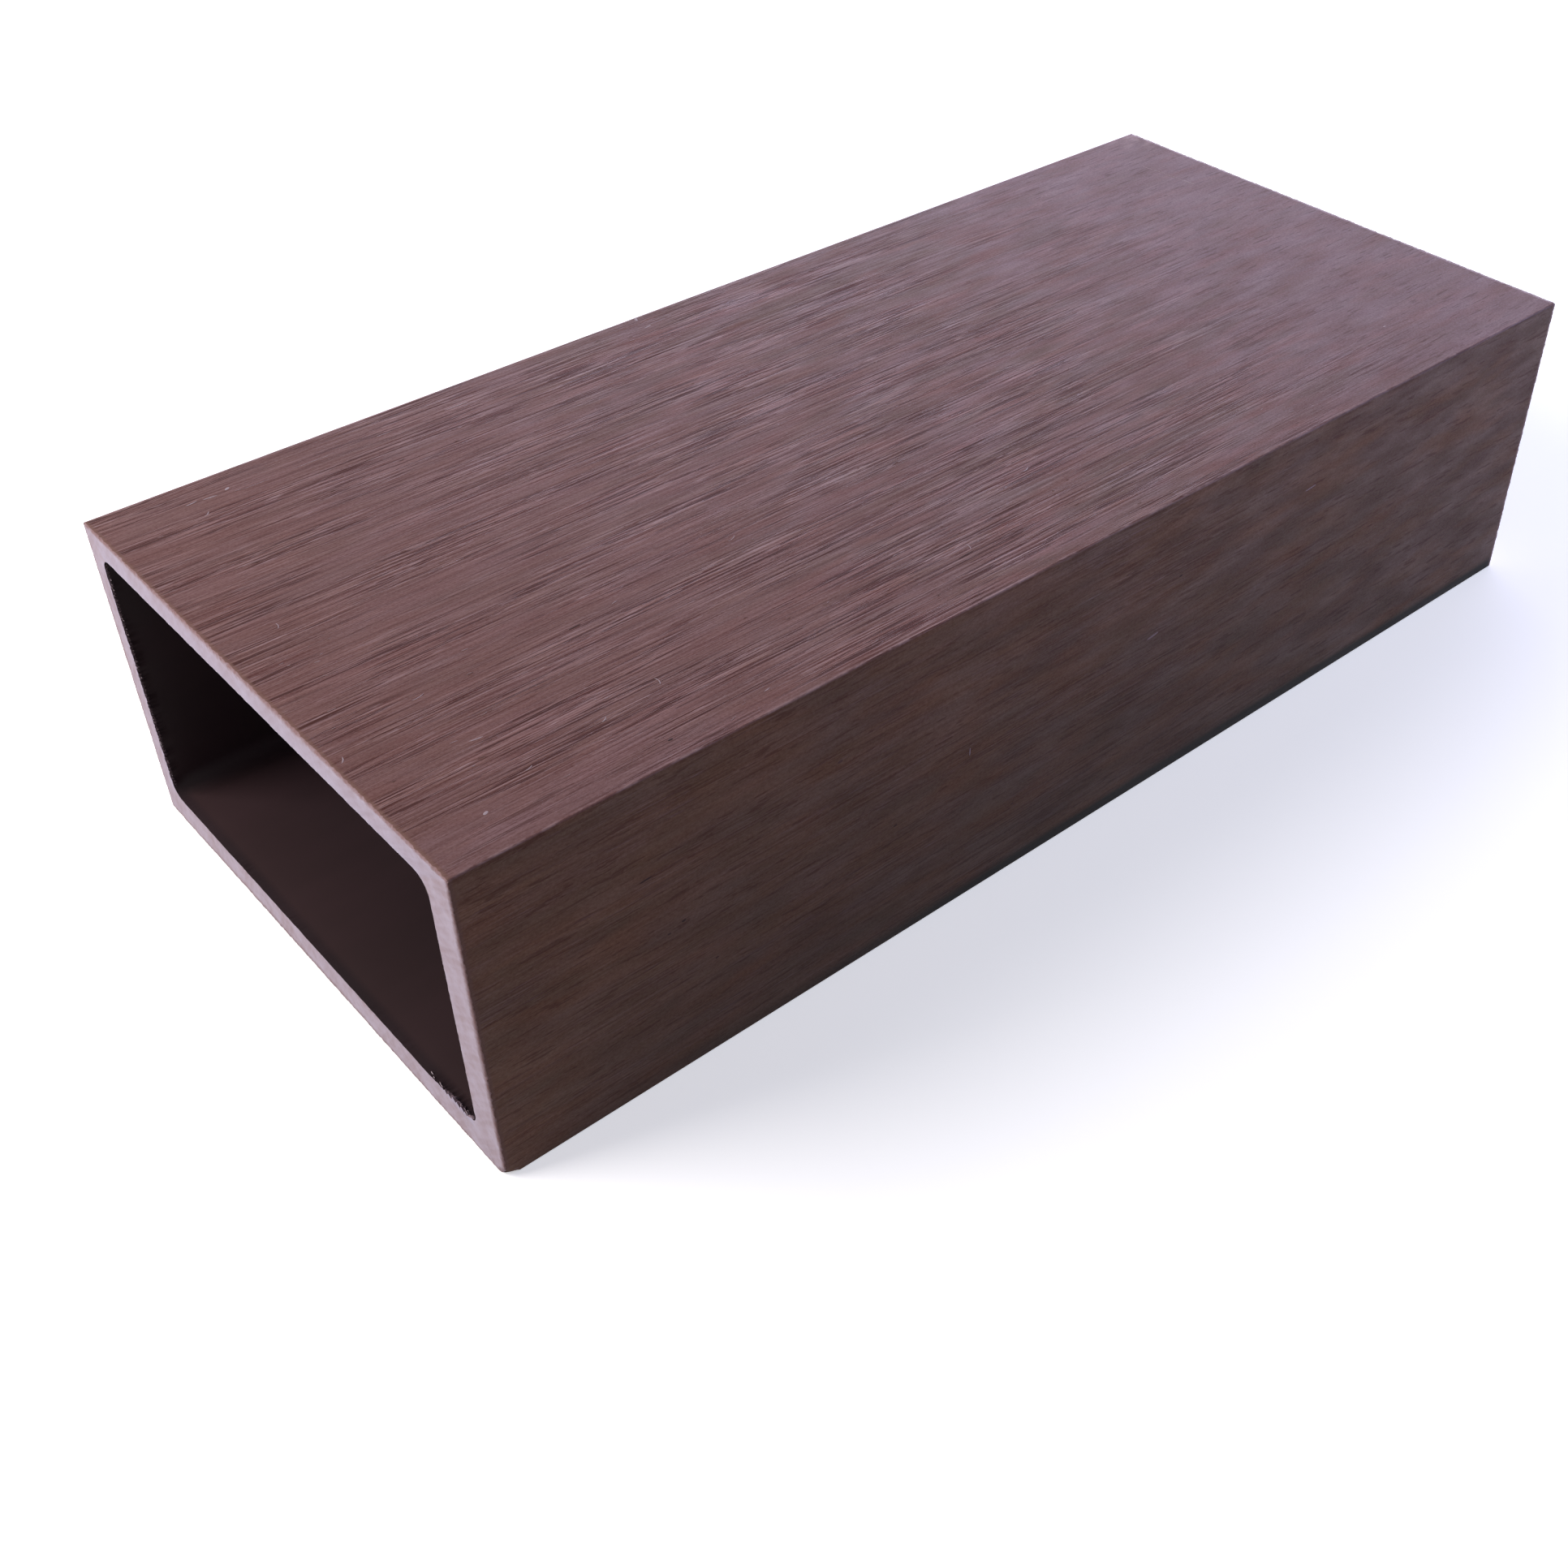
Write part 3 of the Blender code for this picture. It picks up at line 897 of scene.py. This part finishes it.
brushedRail = buildRail()
for make in (brushedMaterial, sawnMaterial, boreMaterial):
    brushedRail.data.materials.append(make())
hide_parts("handrail_tube")
tornComposite = fibreMaterial()
for build in (buildScuffs, buildTearings):
    build().data.materials.append(tornComposite)
print("materials done")


studio = {
    "floorSize": 5.0,
    "floorSeen": "#ffffff",             # what the camera sees
    "floorLit": "#a09a93",              # what lights the rail from below
    "floorShader": {"Roughness": 1.0, "Specular IOR Level": 0.0},
    "floorGlow": (0.5, 1.0),            # white added to what the camera sees, near the rail and far off
    "glowReach": (0.3, 1.2),            # metres from the rail between which it grows
    "sky": "#f3f0f8",
    "skyLevel": 0.16,
    "lamps": {                          # place, aim, size, colour and watts of each soft lamp
        "keyLamp": ((-0.61, 0.31, 0.52), (-0.04, 0.0, 0.03), (0.45, 0.45), "#fff9f6", 5.6),
        "windowGlow": ((1.00, 0.84, 0.27), (0.05, 0.0, 0.05), (1.8, 0.36), "#d6d2f5", 21.6),
        "sideGlow": ((0.52, -0.34, 0.17), (0.05, -0.05, 0.03), (0.4, 0.25), "#b4c4ff", 2.3),
    },
}


def buildStudio():
    half = studio["floorSize"] / 2
    mesh = bpy.data.meshes.new("studioFloor")
    corners = [(-half, -half, 0), (half, -half, 0), (half, half, 0), (-half, half, 0)]
    mesh.from_pydata(corners, [], [(0, 1, 2, 3)])
    floor = newObject("studioFloor", mesh)
    material, tree, shader = newMaterial("paleFloor", studio["floorShader"])
    world = bpy.data.worlds.new("softSky")
    bpy.context.scene.world = world
    world.use_nodes = True
    world.node_tree.nodes.clear()

    # Whether a ray shows the background rather than lights the rail
    seen = {}
    for place in (tree, world.node_tree):
        path = addNode(place, "ShaderNodeLightPath")
        either = addNode(place, "ShaderNodeMath", {
            0: path.outputs["Is Camera Ray"], 1: path.outputs["Is Glossy Ray"]}, operation="MAXIMUM")
        seen[place] = addNode(place, "ShaderNodeMath", {
            0: either, 1: path.outputs["Is Transmission Ray"]}, operation="MAXIMUM")
    colour = addNode(tree, "ShaderNodeMix", {
        0: seen[tree], 6: hexColour(studio["floorLit"]), 7: hexColour(studio["floorSeen"])},
        data_type="RGBA").outputs[2]
    coords = addNode(tree, "ShaderNodeTexCoord").outputs["Object"]
    distance = addNode(tree, "ShaderNodeVectorMath", {0: coords}, operation="LENGTH").outputs["Value"]
    values = dict(enumerate([distance, *studio["glowReach"], *studio["floorGlow"]]))
    glow = addNode(tree, "ShaderNodeMapRange", values, interpolation_type="SMOOTHSTEP")
    glow = addNode(tree, "ShaderNodeMath", {0: seen[tree], 1: glow}, operation="MULTIPLY")
    setInputs(tree, shader, {
        "Base Color": colour, "Emission Color": hexColour(studio["floorSeen"]), "Emission Strength": glow})
    mesh.materials.append(material)

    tree = world.node_tree
    light = addNode(tree, "ShaderNodeBackground", {
        "Color": hexColour(studio["sky"]), "Strength": studio["skyLevel"]})
    white = addNode(tree, "ShaderNodeBackground", {"Color": hexColour(studio["floorSeen"])})
    mix = addNode(tree, "ShaderNodeMixShader", {0: seen[tree], 1: light, 2: white})
    addNode(tree, "ShaderNodeOutputWorld", {"Surface": mix})

    for name, (place, aim, size, tint, watts) in studio["lamps"].items():
        lamp = bpy.data.lights.new(name, "AREA")
        lamp.shape, lamp.size, lamp.size_y = "RECTANGLE", *size
        lamp.energy, lamp.color = watts, hexColour(tint)[:3]
        newObject(name, lamp).matrix_world = aimedMatrix(place, aim)


camera = {
    "place": (-0.19448, -0.22082, 0.22434),
    "aimAt": (-0.04403, -0.04894, 0.03000),
    "roll": 0.120,                      # degrees
    "lens": 43.48,
    "sensor": 36.0,
    "shift": (-0.06049, -0.00394),      # the photo is cropped off centre
    "clip": (0.01, 50),
}


def buildCamera():
    data = bpy.data.cameras.new("photoCamera")
    data.lens, data.sensor_width, data.sensor_fit = camera["lens"], camera["sensor"], "HORIZONTAL"
    data.shift_x, data.shift_y = camera["shift"]
    data.clip_start, data.clip_end = camera["clip"]
    view = newObject("photoCamera", data)
    roll = Matrix.Rotation(np.radians(camera["roll"]), 4, "Z")
    view.matrix_world = aimedMatrix(camera["place"], camera["aimAt"]) @ roll
    bpy.context.scene.camera = view


buildStudio()
buildCamera()
bpy.context.scene.view_settings.view_transform = "Standard"
print("studio and camera done")
